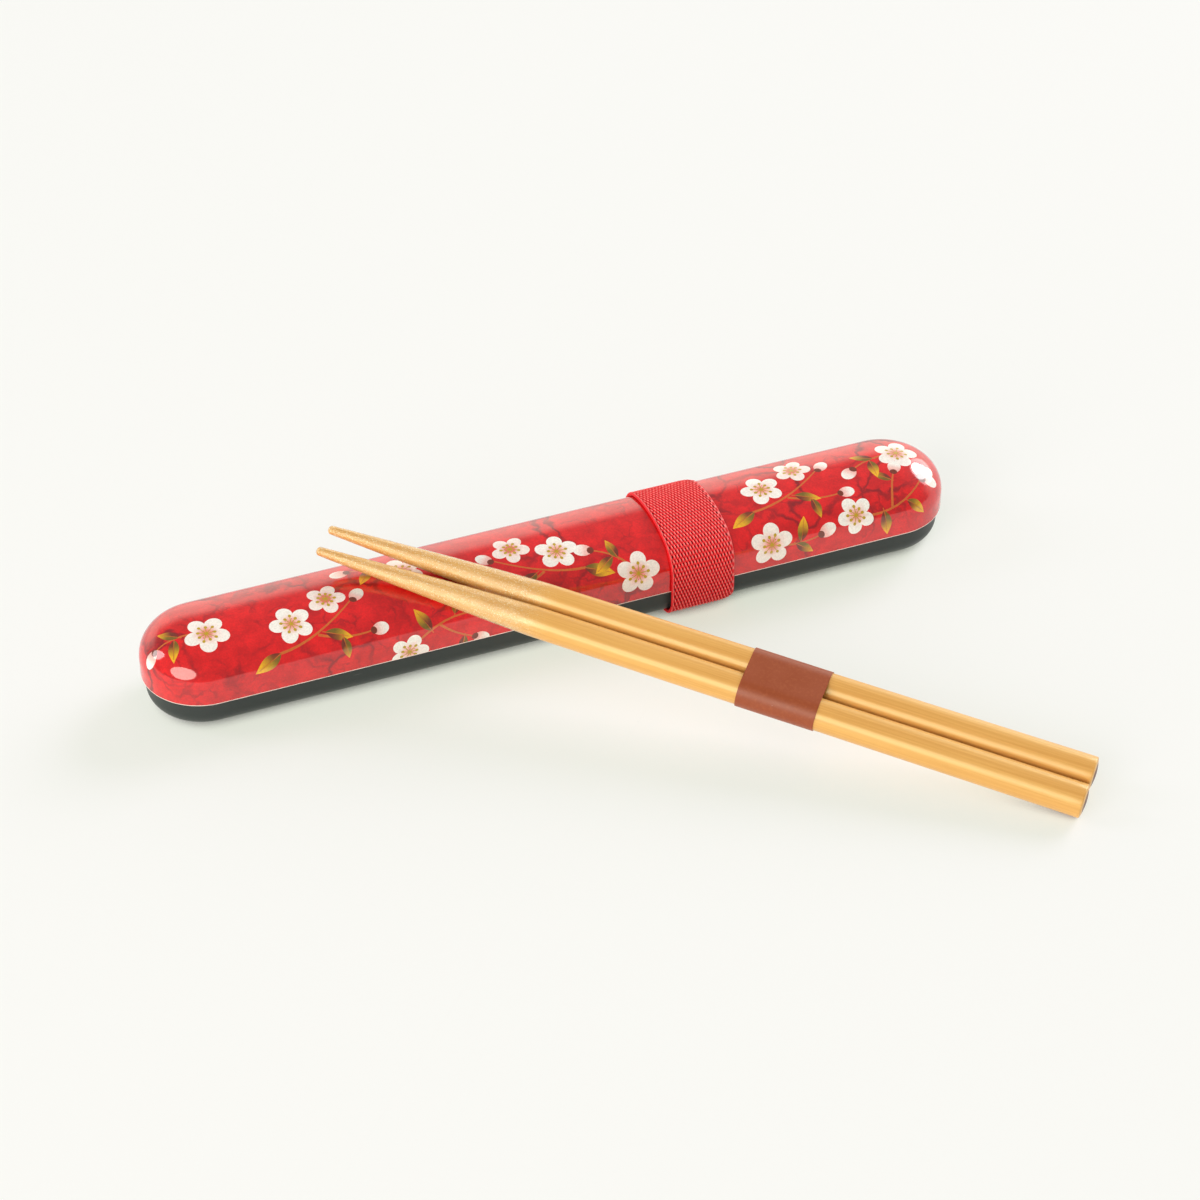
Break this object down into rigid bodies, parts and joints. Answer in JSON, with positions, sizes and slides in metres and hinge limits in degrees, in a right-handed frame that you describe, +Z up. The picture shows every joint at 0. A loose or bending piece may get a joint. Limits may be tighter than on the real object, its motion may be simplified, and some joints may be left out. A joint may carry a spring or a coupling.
{
  "type": "portable chopstick case",
  "caption": "Slim domed travel case with a lift-off printed lid, shallow tray and elastic belt, with its banded chopsticks leaning on the lid.",
  "frame": {"origin": "on the table, at the middle of the footprint of the case and its chopsticks", "axes": "+X along the case towards the belted end, +Y from the chopsticks' butts towards the case, +Z up"},
  "size_m": [0.195, 0.1254, 0.0279],
  "materials": {
    "tray_plastic": "satin near-black moulded plastic",
    "lid_print": "red floral print under a clear gloss coat on ivory plastic",
    "belt_elastic": "red woven elastic",
    "belt_thread": "dark red sewing thread",
    "stick_lacquer": "pale gold lacquer with fine lengthwise streaks",
    "band_paper": "brown textured paper"
  },
  "bodies": {
    "base": {"base_tray": "tray_plastic"},
    "lid": {"lid": "lid_print"},
    "belt": {"belt_lower": "belt_elastic", "belt_stitching": "belt_thread"},
    "belt_top": {"belt_upper": "belt_elastic"},
    "chopsticks": {"chopstick_front": "stick_lacquer", "chopstick_back": "stick_lacquer"},
    "band": {"paper_band": "band_paper"}
  },
  "joints": [
    {"name": "lid_lift", "type": "slide", "parent": "base", "child": "lid", "axis": [0, 0, 1], "range_m": [0, 0.02]},
    {"name": "belt_slide", "type": "slide", "parent": "base", "child": "belt", "axis": [1, 0, 0], "range_m": [0, 0.085]},
    {"name": "belt_stretch", "type": "slide", "parent": "belt", "child": "belt_top", "axis": [0, 0, 1], "range_m": [0, 0.02]},
    {"name": "chopsticks_lift", "type": "slide", "parent": "lid", "child": "chopsticks", "axis": [0, 0, 1], "range_m": [0, 0.05]},
    {"name": "band_slide", "type": "slide", "parent": "chopsticks", "child": "band", "axis": [-0.7512, 0.6489, 0.121], "range_m": [0, 0.05]}
  ],
  "couplings": [
    {"joint": "belt_stretch", "follows": "lid_lift", "ratio": 1}
  ]
}
